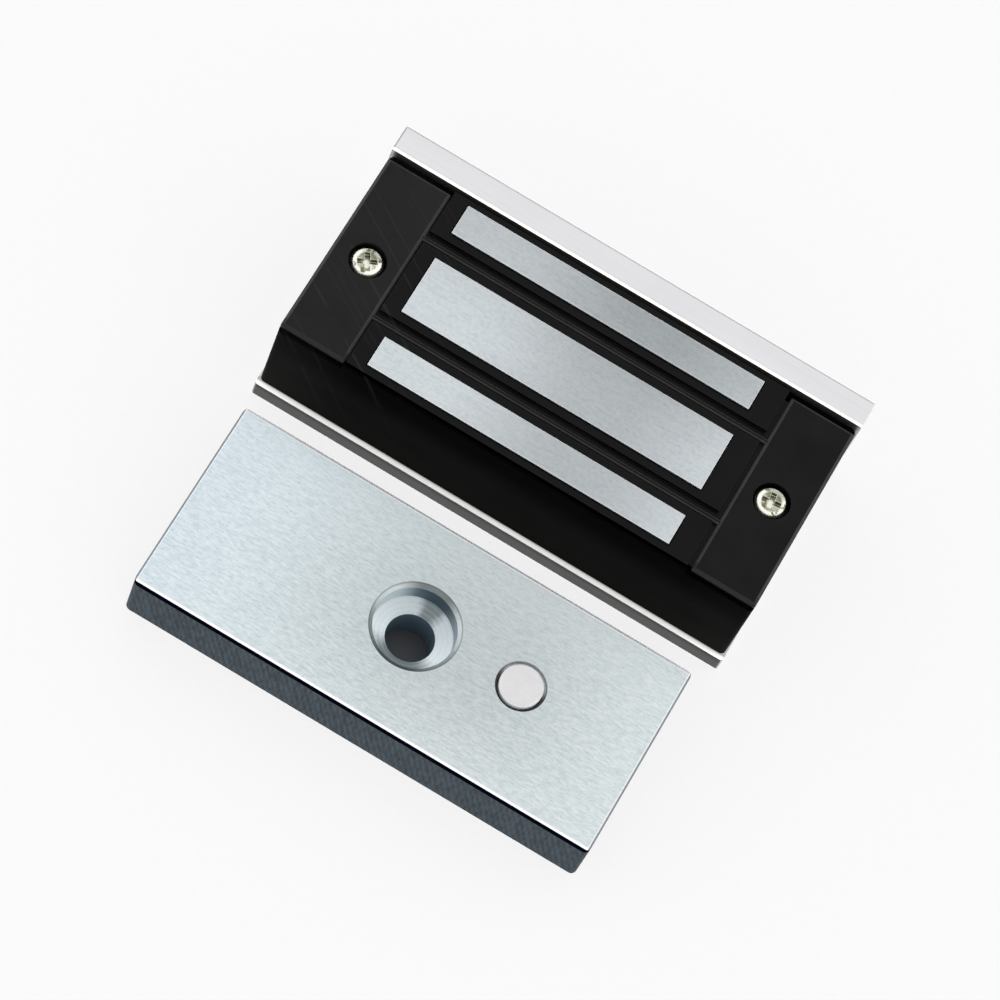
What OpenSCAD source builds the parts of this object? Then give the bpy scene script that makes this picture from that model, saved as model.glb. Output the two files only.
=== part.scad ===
// Small electromagnetic door lock: a magnet unit in an L-shaped rail and its armature plate.
// Both units lie face up on one surface, side by side, as before fitting.
// Frame: origin at the centre of the rail's underside, +X along the rail, +Y towards the rail's
// tall wall, +Z out of the pole faces. All sizes are in millimetres.

/* [Housing rail] */
// length of the aluminium rail
rail_l = 80; // [60:1:120]
// overall width of the rail, over its base
rail_w = 39.6; // [30:0.1:50]
// height of the tall wall, level with the pole faces
rail_h = 22.5; // [18:0.1:30]
// thickness of the tall wall
wall_t = 4.5; // [3:0.1:6]
// thickness of the base
base_t = 3.6; // [2.5:0.1:5]
// bevel along the wall's inner top edge
wall_bevel = 0.25; // [0.1:0.05:0.8]
// bevel along the base's front top edge
base_bevel = 0.2; // [0.1:0.05:0.8]
// diameter of the clearance holes for fixing screws
fixing_d = 4.4; // [3.2:0.1:5.5]
// diameter of a fixing screw's countersink
fixing_head_d = 8.2; // [6:0.1:10]
// distance between the two fixing holes in the wall
wall_pitch = 48; // [30:1:60]
// distance between the two fixing holes in the base
base_pitch = 40; // [30:1:50]

/* [Coil case and face frame] */
// length of the moulded case
case_l = 79.4; // [60:0.1:119]
// wall thickness of the case
case_wall = 1.3; // [1:0.1:2.5]
// gap between the case and the rail's tall wall
case_gap = 0.2; // [0.1:0.05:0.5]
// how far the rail's base shows in front of the case
base_ledge = 0.8; // [0:0.1:2]
// length of each end cap of the face frame
cap_l = 10.7; // [8:0.1:14]
// height of the end caps' top face
cap_top = 22.3; // [18:0.1:30]
// how far the end caps sit back from the case's front
cap_ledge = 0.55; // [0:0.05:1]
// bevel round the top of the end caps
cap_bevel = 0.5; // [0.1:0.05:1]
// height of the black border round the pole faces
border_top = 22.1; // [18:0.1:30]
// width of the border beside a pole face
border_w = 1.35; // [0.8:0.05:2]
// width of the rib between two pole faces
rib_w = 0.8; // [0.4:0.05:1.2]
// width of the fine seam beside each rib
seam_w = 0.25; // [0.1:0.05:0.5]

/* [Core and coil] */
// length of the pole faces
pole_l = 50.4; // [30:0.1:80]
// place of the core's middle along the rail
pole_x = -0.8; // [-5:0.1:5]
// place of the core's middle across the rail
pole_y = -1.66; // [-5:0.01:5]
// width of the two outer poles
outer_pole_w = 5.3; // [3:0.1:8]
// width of the centre pole
centre_pole_w = 10.3; // [6:0.1:16]
// gap between two neighbouring poles
pole_gap = 4.85; // [3:0.05:8]
// thickness of the copper winding
winding_t = 3.3; // [2:0.1:4]

/* [Case screws] */
// distance of each case screw from the middle
screw_x = 34.1; // [25:0.1:50]
// place of the screws across the case
screw_y = -2.5; // [-6:0.1:6]
// diameter of the screw head
screw_head_d = 5; // [3.5:0.1:6]
// diameter of the screw's shank
screw_d = 2.5; // [2:0.1:4]
// diameter of the recess that the head sits in
screw_recess_d = 5.8; // [4:0.1:7]

/* [Armature] */
// length of the armature plate
arm_l = 75.5; // [50:0.1:110]
// width of the armature plate
arm_w = 32.35; // [20:0.05:50]
// thickness of the armature plate
arm_t = 10.8; // [8:0.1:14]
// place of the plate along the lock
arm_x = -0.7; // [-5:0.1:5]
// place of the armature's middle across the layout
arm_y = -43.3; // [-60:0.1:-40]
// bevel along the plate's upper edges
arm_bevel = 0.45; // [0.2:0.05:1]
// diameter of the hole for the fixing bolt
bolt_d = 7.4; // [5:0.1:9]
// diameter of the recess for the bolt's head
bolt_head_d = 12.5; // [10:0.1:16]
// diameter of the release plunger
plunger_d = 6.6; // [4:0.1:8]
// how far the release plunger stands out of the plate
plunger_proud = 0.5; // [0.2:0.05:1]
// distance of the release plunger from the bolt hole
plunger_x = 17.4; // [12:0.1:25]
// how far the release plunger sits off the plate's centre line
plunger_y = 0.4; // [-3:0.1:3]
// distance of each guide-pin hole from the bolt hole
guide_x = 26; // [20:0.5:32]
// diameter of the guide-pin holes in the plate's back
guide_d = 4; // [3:0.1:6]

/* [Hidden] */
$fn = 64;
eps = 0.5;

rail_back = rail_w / 2;
rail_front = -rail_w / 2;
wall_in = rail_back - wall_t;
rail_corner = 0.4;
edge_break = 0.2;
wall_hole_z = 12.5;
thread_gap = 0.02;

case_back = wall_in - case_gap;
case_front = rail_front + base_ledge;
case_w = case_back - case_front;
case_y = (case_back + case_front) / 2;
case_corner = 0.8;
floor_top = base_t + 1.5;
case_top = 20.9;
case_lip_t = 0.35;
case_lip_h = 1.15;
boss_r = 3.3;
boss_top = 17.6;
pillar_r = 0.9;
pillars = [[30.9, 8.4], [37.1, 3.6]];

// face frame
frame_inset = 0.7;
cap_lid_t = 0.4;
cap_front = case_front + cap_ledge;
cap_back = case_back - 1.2;
border_front = case_front + 0.85;
border_back = case_back - 0.45;
border_x0 = -28.75;
border_x1 = 28.25;
window_gap = 0.2;
slot_w = pole_gap - 2 * border_w - rib_w - seam_w;
slot_floor = 21.15;
seat_z = 20.1;

// core
pole_z = rail_h;
pole_break = 0.12;
yoke_top = floor_top + 5;
outer_pole_y = centre_pole_w / 2 + pole_gap + outer_pole_w / 2;
core_w = 2 * outer_pole_y + outer_pole_w;
rivet_y = 9.6;
rivet_z = (floor_top + yoke_top) / 2;
rivet_r = 1;
rivet_head_r = 1.8;
rivet_head_t = 0.6;
rivet_gap = 0.02;

// coil
bobbin_gap = 0.1;
bobbin_t = 0.6;
bobbin_z0 = yoke_top + 0.1;
bobbin_z1 = 20.2;
tape_t = 0.2;
potting_low = 9.8;
potting_high = 17.4;

// board in the right-hand end of the case
board_x = 33.9;
board_y = 7.4;
board_z = 14;
board_l = 8.4;
board_w = 10.4;
board_t = 1;

// cable grommet in the tall wall
grommet_x = 33;
grommet_z = 9;
grommet_r = 2.95;
grommet_flange_r = 4.2;
grommet_flange_t = 1.2;
cable_r = 2.1;
grommet_in = case_back - case_wall - 0.6;

// case screw
head_h = 1.85;
head_edge = 0.4;
cross_w = 0.8;
cross_l = 3;
cross_depth = 0.9;

// armature
arm_corner = 0.9;
bolt_rim = 0.65;
bolt_wall_depth = 3.9;
bolt_seat_depth = 4.75;
bush_r = 3.84;
bush_hole_r = 3.85;
bush_clear = 0.06;
bush_top = arm_t - 0.8;
bush_bottom = 6;
flange_r = 3.7;
flange_z0 = 4.6;
flange_z1 = 5.9;
plug_top = 1.8;
guide_depth = 6;
spring_wire_r = 0.3;
spring_r = 2.4;
spring_turns = 3;
spring_gap = 0.05;

// ---- shared shapes ----

function arc(c, r, start, steps = 6) =
    [for (i = [0:steps]) c + r * [cos(start + 90 * i / steps), sin(start + 90 * i / steps)]];

// rectangle with rounded corners, centred
module outline(l, w, r) {
    polygon(concat(
        arc([l / 2 - r, w / 2 - r], r, 0),
        arc([-l / 2 + r, w / 2 - r], r, 90),
        arc([-l / 2 + r, -w / 2 + r], r, 180),
        arc([l / 2 - r, -w / 2 + r], r, 270)));
}

// cross-section of a block with a bevel along its two top edges
module bevelled_section(w, h, c) {
    polygon([[-w / 2, 0], [w / 2, 0], [w / 2, h - c], [w / 2 - c, h], [-w / 2 + c, h], [-w / 2, h - c]]);
}

// a section drawn in Y and Z, run along X
module along_x(l) {
    rotate([90, 0, 90])
        linear_extrude(l, center = true)
            children();
}

// block with rounded upright corners and bevelled top edges
module bevelled_block(l, w, h, r, c) {
    intersection() {
        linear_extrude(h)
            outline(l, w, r);
        along_x(l)
            bevelled_section(w, h, c);
        rotate([90, 0, 0])
            linear_extrude(w, center = true)
                bevelled_section(l, h, c);
    }
}

// the outline of the centre pole, grown by a margin
module round_the_pole(margin, r) {
    translate([pole_x, pole_y])
        outline(pole_l + 2 * margin, centre_pole_w + 2 * margin, r);
}

// a straight rod from a to b with round ends
module rod(a, b, r) {
    d = b - a;
    translate(a)
        rotate([0, acos(d.z / norm(d)), atan2(d.y, d.x)])
            cylinder(h = norm(d), r = r, $fn = 20);
    for (p = [a, b])
        translate(p)
            sphere(r, $fn = 20);
}

// ---- magnet unit ----

module fixing_hole() {
    translate([0, 0, -eps])
        cylinder(h = wall_t + 2 * eps, d = fixing_d);
}

module countersink(t) {
    depth = (fixing_head_d - fixing_d) / 2;
    translate([0, 0, t - depth])
        cylinder(h = depth, d1 = fixing_d, d2 = fixing_head_d);
    translate([0, 0, t])
        cylinder(h = eps, d = fixing_head_d);
}

module housing_rail() {
    color("gainsboro")
        difference() {
            intersection() {
                along_x(rail_l)
                    polygon([
                        [rail_front, 0], [rail_back, 0], [rail_back, rail_h - edge_break],
                        [rail_back - edge_break, rail_h], [wall_in + wall_bevel, rail_h],
                        [wall_in, rail_h - wall_bevel], [wall_in, base_t],
                        [rail_front + base_bevel, base_t], [rail_front, base_t - base_bevel]]);
                linear_extrude(rail_h)
                    outline(rail_l, rail_w, rail_corner);
            }
            for (side = [-1, 1]) {
                translate([side * base_pitch / 2, case_y, 0]) {
                    fixing_hole();
                    countersink(base_t);
                }
                translate([side * wall_pitch / 2, rail_back, wall_hole_z])
                    rotate([90, 0, 0]) {
                        fixing_hole();
                        countersink(wall_t);
                    }
                translate([side * screw_x, screw_y, -eps])
                    cylinder(h = base_t + 2 * eps, d = screw_d + 2 * thread_gap, $fn = 32);
            }
            translate([grommet_x, rail_back + eps, grommet_z])
                rotate([90, 0, 0]) {
                    cylinder(h = wall_t + 2 * eps, r = grommet_r);
                    cylinder(h = grommet_flange_t + eps, r = grommet_flange_r);
                }
        }
}

module coil_case() {
    inside_l = case_l - 2 * case_wall;
    inside_w = case_w - 2 * case_wall;
    color([0.07, 0.07, 0.08])
        translate([0, case_y, 0])
            difference() {
                union() {
                    difference() {
                        translate([0, 0, base_t])
                            linear_extrude(case_top - base_t)
                                outline(case_l, case_w, case_corner);
                        translate([0, 0, floor_top])
                            linear_extrude(case_top)
                                outline(inside_l, inside_w, case_corner);
                    }
                    for (side = [-1, 1])
                        translate([side * screw_x, screw_y - case_y, floor_top - eps])
                            cylinder(h = boss_top - floor_top + eps, r = boss_r);
                    for (p = pillars)
                        translate([p.x, p.y - case_y, floor_top - eps])
                            cylinder(h = board_z - floor_top + eps, r = pillar_r, $fn = 32);
                    translate([border_x0 - 0.2, -case_w / 2, case_top - eps])
                        cube([border_x1 - border_x0 + 0.4, case_lip_t, case_lip_h + eps]);
                }
                for (side = [-1, 1])
                    translate([side * screw_x, screw_y - case_y, 0])
                        cylinder(h = case_top, d = screw_d + 0.2, $fn = 32);
                translate([grommet_x, case_w / 2 + eps, grommet_z])
                    rotate([90, 0, 0])
                        cylinder(h = case_wall + 2 * eps, r = grommet_r);
            }
}

module face_cap() {
    cap_w = cap_back - cap_front;
    lid_z = cap_top - cap_lid_t - cap_bevel;
    translate([case_l / 2 - cap_l / 2, (cap_back + cap_front) / 2, 0])
        union() {
            translate([0, 0, lid_z])
                bevelled_block(cap_l, cap_w, cap_top - lid_z, 0.3, cap_bevel);
            translate([-frame_inset / 2, 0, (case_top + lid_z + eps) / 2])
                cube([cap_l - frame_inset, cap_w - 2 * frame_inset, lid_z - case_top + eps], center = true);
        }
}

module pole_windows() {
    for (y = [-outer_pole_y, outer_pole_y])
        translate([pole_x, pole_y + y, border_top])
            cube([pole_l + 2 * window_gap, outer_pole_w + 2 * window_gap, 4], center = true);
    translate([pole_x, pole_y, border_top])
        cube([pole_l + 2 * window_gap, centre_pole_w + 2 * window_gap, 4], center = true);
}

module face_frame() {
    border_l = border_x1 - border_x0;
    gap_w = slot_w + rib_w + seam_w;
    color([0.1, 0.1, 0.11])
        difference() {
            union() {
                face_cap();
                mirror([1, 0, 0])
                    face_cap();
                translate([-case_l / 2 + 1, border_front + 0.5, case_top])
                    cube([case_l - 2, cap_back - border_front - 1.2, 0.5]);
                difference() {
                    translate([border_x0, border_front, case_top])
                        cube([border_l, border_back - border_front, border_top - case_top]);
                    for (y = [pole_y + centre_pole_w / 2, pole_y - centre_pole_w / 2 - pole_gap])
                        translate([border_x0 - eps, y + border_w, slot_floor])
                            cube([border_l + 2 * eps, gap_w, 2]);
                }
                for (y = [pole_y + centre_pole_w / 2, pole_y - centre_pole_w / 2 - pole_gap])
                    translate([0, y + border_w + seam_w + rib_w / 2, case_top])
                        along_x(case_l - 2 * cap_l + 0.4)
                            bevelled_section(rib_w, border_top - case_top, 0.25);
                for (side = [-1, 1])
                    translate([side * screw_x, screw_y, boss_top])
                        cylinder(h = case_top - boss_top + eps, r = boss_r);
            }
            pole_windows();
            for (side = [-1, 1])
                translate([side * screw_x, screw_y, 0]) {
                    translate([0, 0, seat_z])
                        cylinder(h = 6, d = screw_recess_d);
                    cylinder(h = 30, d = screw_d + 0.2, $fn = 32);
                }
        }
}

module core_leg(w) {
    translate([0, floor_top])
        bevelled_section(w, pole_z - floor_top, pole_break);
}

module core_laminations() {
    color([0.72, 0.75, 0.78])
        difference() {
            translate([pole_x, pole_y, 0])
                along_x(pole_l)
                    union() {
                        translate([-core_w / 2, floor_top])
                            square([core_w, yoke_top - floor_top]);
                        core_leg(centre_pole_w);
                        for (y = [-outer_pole_y, outer_pole_y])
                            translate([y, 0])
                                core_leg(outer_pole_w);
                    }
            for (side = [-1, 1])
                translate([pole_x - pole_l, pole_y + side * rivet_y, rivet_z])
                    rotate([0, 90, 0])
                        cylinder(h = 2 * pole_l, r = rivet_r + thread_gap, $fn = 32);
        }
}

module rivets() {
    half = pole_l / 2 + rivet_gap;
    for (side = [-1, 1])
        translate([pole_x, pole_y + side * rivet_y, rivet_z])
            rotate([0, 90, 0]) {
                translate([0, 0, -half])
                    cylinder(h = 2 * half, r = rivet_r, $fn = 32);
                for (end = [-1, 1])
                    translate([0, 0, end * (half + rivet_head_t / 2)])
                        cylinder(h = rivet_head_t, r = rivet_head_r, center = true, $fn = 32);
            }
}

module core_rivets() {
    color("silver")
        rivets();
}

module coil_bobbin() {
    tube_out = bobbin_gap + bobbin_t;
    flange_out = tube_out + winding_t + tape_t + 0.1;
    color([0.16, 0.16, 0.17])
        difference() {
            union() {
                translate([0, 0, bobbin_z0])
                    linear_extrude(bobbin_z1 - bobbin_z0)
                        round_the_pole(tube_out, 0.7);
                for (z = [bobbin_z0, bobbin_z1 - bobbin_t])
                    translate([0, 0, z])
                        linear_extrude(bobbin_t)
                            round_the_pole(flange_out, 2);
            }
            linear_extrude(bobbin_z1 + eps)
                round_the_pole(bobbin_gap, 0.1);
        }
}

module coil_ring(inner, outer) {
    translate([0, 0, bobbin_z0 + bobbin_t])
        linear_extrude(bobbin_z1 - bobbin_z0 - 2 * bobbin_t)
            difference() {
                round_the_pole(outer, outer);
                round_the_pole(inner, inner);
            }
}

module coil_winding() {
    start = bobbin_gap + bobbin_t;
    color([0.72, 0.36, 0.16])
        coil_ring(start, start + winding_t);
}

module winding_tape() {
    start = bobbin_gap + bobbin_t + winding_t;
    color([0.86, 0.72, 0.25])
        coil_ring(start, start + tape_t);
}

module potting_compound() {
    inside_l = case_l - 2 * case_wall;
    inside_w = case_w - 2 * case_wall;
    end_l = 7.2;
    color([0.12, 0.12, 0.12])
        difference() {
            union() {
                translate([0, case_y, floor_top])
                    linear_extrude(potting_low - floor_top)
                        outline(inside_l, inside_w, case_corner);
                translate([-inside_l / 2, case_y - inside_w / 2 + 1, floor_top])
                    cube([end_l, inside_w - 2, potting_high - floor_top]);
                translate([inside_l / 2 - end_l, case_y - inside_w / 2 + 1, floor_top])
                    cube([end_l, inside_w / 2, potting_high - floor_top]);
            }
            translate([pole_x, pole_y, floor_top])
                cube([pole_l, core_w, 20], center = true);
            rivets();
            for (side = [-1, 1])
                translate([side * screw_x, screw_y, 0])
                    cylinder(h = 20, r = boss_r);
            for (p = pillars)
                translate([p.x, p.y, 0])
                    cylinder(h = 20, r = pillar_r, $fn = 32);
            translate([grommet_x, case_back, grommet_z])
                rotate([90, 0, 0])
                    cylinder(h = case_back - grommet_in, r = grommet_r);
            translate([grommet_x - grommet_r, grommet_in - 3, grommet_z - grommet_r])
                cube([2 * grommet_r, 3, 10]);
        }
}

module circuit_board() {
    color([0.1, 0.36, 0.2])
        translate([board_x, board_y, board_z + board_t / 2])
            difference() {
                cube([board_l, board_w, board_t], center = true);
                for (x = [-2.7, 2.7])
                    translate([x, board_w / 2 - 1.1, -board_t])
                        cylinder(h = 2 * board_t, r = 0.45, $fn = 24);
            }
}

module surge_varistor() {
    color([0.12, 0.3, 0.62])
        translate([board_x - 0.3, board_y + 1.2, board_z + board_t])
            cylinder(h = 2.3, r = 2.8);
}

module flyback_diode() {
    color([0.1, 0.1, 0.1])
        translate([board_x - 2.2, board_y - 3.6, board_z + board_t + 1.1])
            rotate([0, 90, 0])
                cylinder(h = 4.4, r = 1.1, $fn = 32);
}

module terminal_pins() {
    color("silver")
        for (x = [-2.7, 2.7])
            translate([board_x + x, board_y + board_w / 2 - 1.1, board_z - 1.2])
                cylinder(h = board_t + 2.6, r = 0.43, $fn = 24);
}

module coil_leads() {
    start_x = pole_x + pole_l / 2 + bobbin_gap + bobbin_t + winding_t + tape_t;
    color([0.75, 0.3, 0.12])
        for (y = [0.4, 2.4]) {
            rod([start_x + 0.3, y, 12.4], [start_x + 0.9, y + 1.6, 13.4], 0.28);
            rod([start_x + 0.9, y + 1.6, 13.4], [start_x + 1.8, y + 2.4, 13.5], 0.28);
        }
}

module cable_grommet() {
    color([0.08, 0.08, 0.08])
        translate([grommet_x, rail_back, grommet_z])
            rotate([90, 0, 0])
                difference() {
                    union() {
                        cylinder(h = grommet_flange_t, r = grommet_flange_r - 0.05);
                        cylinder(h = rail_back - grommet_in, r = grommet_r - 0.02);
                    }
                    translate([0, 0, -eps])
                        cylinder(h = rail_back - grommet_in + 2 * eps, r = cable_r);
                }
}

module case_screw(side, turn) {
    color([0.78, 0.76, 0.66])
        translate([side * screw_x, screw_y, seat_z])
            difference() {
                union() {
                    cylinder(h = head_h - head_edge, d = screw_head_d);
                    translate([0, 0, head_h - head_edge])
                        cylinder(h = head_edge, d1 = screw_head_d, d2 = screw_head_d - 2 * head_edge);
                    translate([0, 0, -seat_z + edge_break])
                        cylinder(h = seat_z, d = screw_d, $fn = 32);
                }
                for (a = [turn, turn + 90])
                    rotate([0, 0, a])
                        translate([0, 0, head_h])
                            cube([cross_l, cross_w, 2 * cross_depth], center = true);
            }
}

module case_screw_left() {
    case_screw(-1, 28);
}

module case_screw_right() {
    case_screw(1, 8);
}

// ---- armature ----

module armature_plate() {
    color([0.8, 0.82, 0.84])
        translate([arm_x, arm_y, 0])
            difference() {
                bevelled_block(arm_l, arm_w, arm_t, arm_corner, arm_bevel);
                translate([0, 0, arm_t - bolt_rim])
                    cylinder(h = bolt_rim, d1 = bolt_head_d, d2 = bolt_head_d + 2 * bolt_rim);
                translate([0, 0, arm_t - bolt_wall_depth])
                    cylinder(h = bolt_wall_depth, d = bolt_head_d);
                translate([0, 0, arm_t - bolt_seat_depth])
                    cylinder(h = bolt_seat_depth - bolt_wall_depth, d1 = bolt_d, d2 = bolt_head_d);
                translate([0, 0, -eps])
                    cylinder(h = arm_t, d = bolt_d);
                translate([plunger_x, plunger_y, -eps])
                    cylinder(h = arm_t + 2 * eps, r = bush_hole_r);
                for (side = [-1, 1])
                    translate([side * guide_x, 0, -eps])
                        cylinder(h = guide_depth + eps, d = guide_d);
            }
}

module at_plunger() {
    translate([arm_x + plunger_x, arm_y + plunger_y, 0])
        children();
}

module release_plunger() {
    top = arm_t + plunger_proud;
    color([0.93, 0.91, 0.91])
        at_plunger() {
            translate([0, 0, flange_z0])
                cylinder(h = flange_z1 - flange_z0, r = flange_r);
            translate([0, 0, flange_z0])
                cylinder(h = top - 0.25 - flange_z0, d = plunger_d);
            translate([0, 0, top - 0.25])
                cylinder(h = 0.25, d1 = plunger_d, d2 = plunger_d - 0.4);
        }
}

module plunger_bush() {
    color([0.14, 0.14, 0.15])
        at_plunger()
            difference() {
                translate([0, 0, bush_bottom])
                    cylinder(h = bush_top - bush_bottom, r = bush_r);
                cylinder(h = arm_t, d = plunger_d + 2 * bush_clear);
            }
}

module plunger_plug() {
    color([0.6, 0.61, 0.62])
        at_plunger()
            difference() {
                cylinder(h = plug_top, r = bush_r);
                translate([0, 0, 0])
                    cube([5.4, 0.9, 1.6], center = true);
            }
}

// points of one ring of the spring's wire, at a fraction t of its length
function spring_ring(t, z0, z1, sides) =
    let (turn = 360 * spring_turns * t, z = z0 + (z1 - z0) * t)
    [for (k = [0:sides - 1])
        let (a = 360 * k / sides, r = spring_r + spring_wire_r * cos(a))
        [r * cos(turn), r * sin(turn), z + spring_wire_r * sin(a)]];

module plunger_spring() {
    sides = 8;
    rings = 24 * spring_turns;
    z0 = plug_top + spring_wire_r + spring_gap;
    z1 = flange_z0 - spring_wire_r - spring_gap;
    points = [for (i = [0:rings]) each spring_ring(i / rings, z0, z1, sides)];
    skin = [for (i = [0:rings - 1], k = [0:sides - 1])
        let (n = (k + 1) % sides)
        [i * sides + k, (i + 1) * sides + k, (i + 1) * sides + n, i * sides + n]];
    start = [for (k = [0:sides - 1]) k];
    finish = [for (k = [0:sides - 1]) rings * sides + sides - 1 - k];
    color([0.7, 0.71, 0.73])
        at_plunger()
            polyhedron(points = points, faces = concat(skin, [start, finish]));
}

housing_rail();
coil_case();
face_frame();
core_laminations();
core_rivets();
coil_bobbin();
coil_winding();
winding_tape();
potting_compound();
circuit_board();
surge_varistor();
flyback_diode();
terminal_pins();
coil_leads();
cable_grommet();
case_screw_left();
case_screw_right();
armature_plate();
release_plunger();
plunger_bush();
plunger_spring();
plunger_plug();
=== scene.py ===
import math

import bpy
import bmesh
from mathutils import Matrix, Vector


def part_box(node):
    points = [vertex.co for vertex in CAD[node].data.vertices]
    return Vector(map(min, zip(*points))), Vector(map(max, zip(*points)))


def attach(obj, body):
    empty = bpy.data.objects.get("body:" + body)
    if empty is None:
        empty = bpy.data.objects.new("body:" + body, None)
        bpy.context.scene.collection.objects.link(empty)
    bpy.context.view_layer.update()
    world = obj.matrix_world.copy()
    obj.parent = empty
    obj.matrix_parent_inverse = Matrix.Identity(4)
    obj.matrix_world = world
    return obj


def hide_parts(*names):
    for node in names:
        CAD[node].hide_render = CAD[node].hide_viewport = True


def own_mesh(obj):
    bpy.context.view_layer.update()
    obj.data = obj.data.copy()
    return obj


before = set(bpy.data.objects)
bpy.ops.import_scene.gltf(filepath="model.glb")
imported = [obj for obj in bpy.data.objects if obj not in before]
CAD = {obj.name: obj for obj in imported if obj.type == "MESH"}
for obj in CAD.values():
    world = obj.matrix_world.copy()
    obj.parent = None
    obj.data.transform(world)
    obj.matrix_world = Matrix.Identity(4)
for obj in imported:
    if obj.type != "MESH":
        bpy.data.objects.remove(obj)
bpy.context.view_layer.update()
SCENE = bpy.context.scene
MM = 0.001

# ---- view: a long lens from above and in front, turned in the picture plane ----

AIM_HEIGHT = 11 * MM
AIM_OFFSET = Vector((0.1 * MM, 0.5 * MM, 0))
DISTANCE = 709 * MM
AZIMUTH = math.radians(-4.0)
ELEVATION = math.radians(64.8)
ROLL = math.radians(-27.17)
LENS_MM = 175.35
SENSOR_MM = 36
NEAREST_SEEN = 10 * MM


def box_centre(*names):
    """Middle of the box round some CAD nodes."""
    lows, highs = zip(*(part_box(name) for name in names))
    low = Vector(min(p[i] for p in lows) for i in range(3))
    high = Vector(max(p[i] for p in highs) for i in range(3))
    return (low + high) / 2


def view_axes():
    """The camera's forward, right and up directions."""
    flat = math.cos(ELEVATION)
    forward = Vector((math.sin(AZIMUTH) * flat, math.cos(AZIMUTH) * flat, -math.sin(ELEVATION)))
    level = forward.cross(Vector((0, 0, 1))).normalized()
    up = level.cross(forward) * math.cos(ROLL) + level * math.sin(ROLL)
    return forward, forward.cross(up), up


def add_camera():
    """A camera that looks at the middle of the two units."""
    middle = box_centre("housing_rail", "armature_plate")
    aim = Vector((0, middle.y, AIM_HEIGHT)) + AIM_OFFSET
    forward, right, up = view_axes()
    data = bpy.data.cameras.new("camera")
    data.sensor_width = SENSOR_MM
    data.lens = LENS_MM
    data.clip_start = NEAREST_SEEN
    camera = bpy.data.objects.new("camera", data)
    SCENE.collection.objects.link(camera)
    turn = Matrix((right, up, -forward)).transposed()
    camera.matrix_world = Matrix.Translation(aim - forward * DISTANCE) @ turn.to_4x4()
    SCENE.camera = camera


add_camera()

# ---- node helpers ----


def new_material(name):
    """An empty node material and its principled shader."""
    material = bpy.data.materials.new(name)
    material.use_nodes = True
    tree = material.node_tree
    shader = next(n for n in tree.nodes if n.type == "BSDF_PRINCIPLED")
    return material, tree, shader


def plug(tree, socket, value):
    """Link another node's output to a socket, or set the socket's own value."""
    if isinstance(value, bpy.types.NodeSocket):
        tree.links.new(value, socket)
    elif socket.type == "RGBA":
        socket.default_value = (*value, 1)
    else:
        socket.default_value = value


def put(tree, kind, inputs=None, **settings):
    """A shader node with its settings; an input may be a value or another node's output."""
    made = tree.nodes.new("ShaderNode" + kind)
    for key, value in settings.items():
        setattr(made, key, value)
    for key, value in (inputs or {}).items():
        plug(tree, made.inputs[key], value)
    return made


def feed(tree, shader, **values):
    """Set or link a shader's sockets: Base_Color, Roughness and so on."""
    for key, value in values.items():
        plug(tree, shader.inputs[key.replace("_", " ")], value)


def position(tree):
    """Place on the object, in the row frame, in metres."""
    return put(tree, "TexCoord").outputs["Object"]


def split_place(tree):
    """The place's X, Y and Z, in metres."""
    return put(tree, "SeparateXYZ", {0: position(tree)}).outputs


def split_normal(tree):
    """The X, Y and Z of the direction that the surface faces."""
    return put(tree, "SeparateXYZ", {0: put(tree, "TexCoord").outputs["Normal"]}).outputs


def stretched(tree, scale, turn=(0, 0, 0)):
    """The place, turned and scaled along each axis."""
    return put(tree, "Mapping", {"Vector": position(tree), "Scale": scale, "Rotation": turn}).outputs[0]


def noise(tree, scale, detail=3, turn=(0, 0, 0), rough=0.5):
    """Noise from 0 to 1, with a frequency per metre along each axis."""
    where = stretched(tree, scale, turn)
    made = put(tree, "TexNoise", {"Vector": where, "Scale": 1.0, "Detail": detail, "Roughness": rough})
    return made.outputs["Fac"]


def remap(tree, value, low, high, to_low=0.0, to_high=1.0, curve="LINEAR"):
    """A value moved from one range to another and kept inside it."""
    made = put(tree, "MapRange", {"Value": value, "From Min": low, "From Max": high,
                                  "To Min": to_low, "To Max": to_high}, interpolation_type=curve)
    return made.outputs["Result"]


def smooth(tree, value, low, high, to_low=0.0, to_high=1.0):
    """A value moved from one range to another, with soft ends."""
    return remap(tree, value, low, high, to_low, to_high, "SMOOTHSTEP")


def past(tree, value, edge, width):
    """0 before an edge and 1 past it, over a width; a negative width runs the other way."""
    return smooth(tree, value, edge, edge + width)


def maths(tree, operation, a, b=0.0):
    """One Math node."""
    return put(tree, "Math", {0: a, 1: b}, operation=operation).outputs[0]


def product(tree, *factors):
    """All the factors multiplied together."""
    result = factors[0]
    for factor in factors[1:]:
        result = maths(tree, "MULTIPLY", result, factor)
    return result


def highest(tree, *values):
    """The largest of the values."""
    result = values[0]
    for value in values[1:]:
        result = maths(tree, "MAXIMUM", result, value)
    return result


def waves(tree, value, pitch):
    """A sine wave along a value, from -1 to 1."""
    return maths(tree, "SINE", product(tree, value, 2 * math.pi / pitch))


def hill(tree, value, centre, reach, flat):
    """1 near a centre, falling to 0 at a distance."""
    off = maths(tree, "ABSOLUTE", maths(tree, "SUBTRACT", value, centre))
    return smooth(tree, off, reach, flat)


def blend(tree, factor, a, b, mode="MIX"):
    """Mix of two colours."""
    made = put(tree, "Mix", {0: factor, 6: a, 7: b}, data_type="RGBA", blend_type=mode)
    return made.outputs[2]


def mottled(tree, pattern, dark, light):
    """A colour that wanders between two tones with a noise."""
    return blend(tree, remap(tree, pattern, 0.3, 0.7), dark, light)


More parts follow.
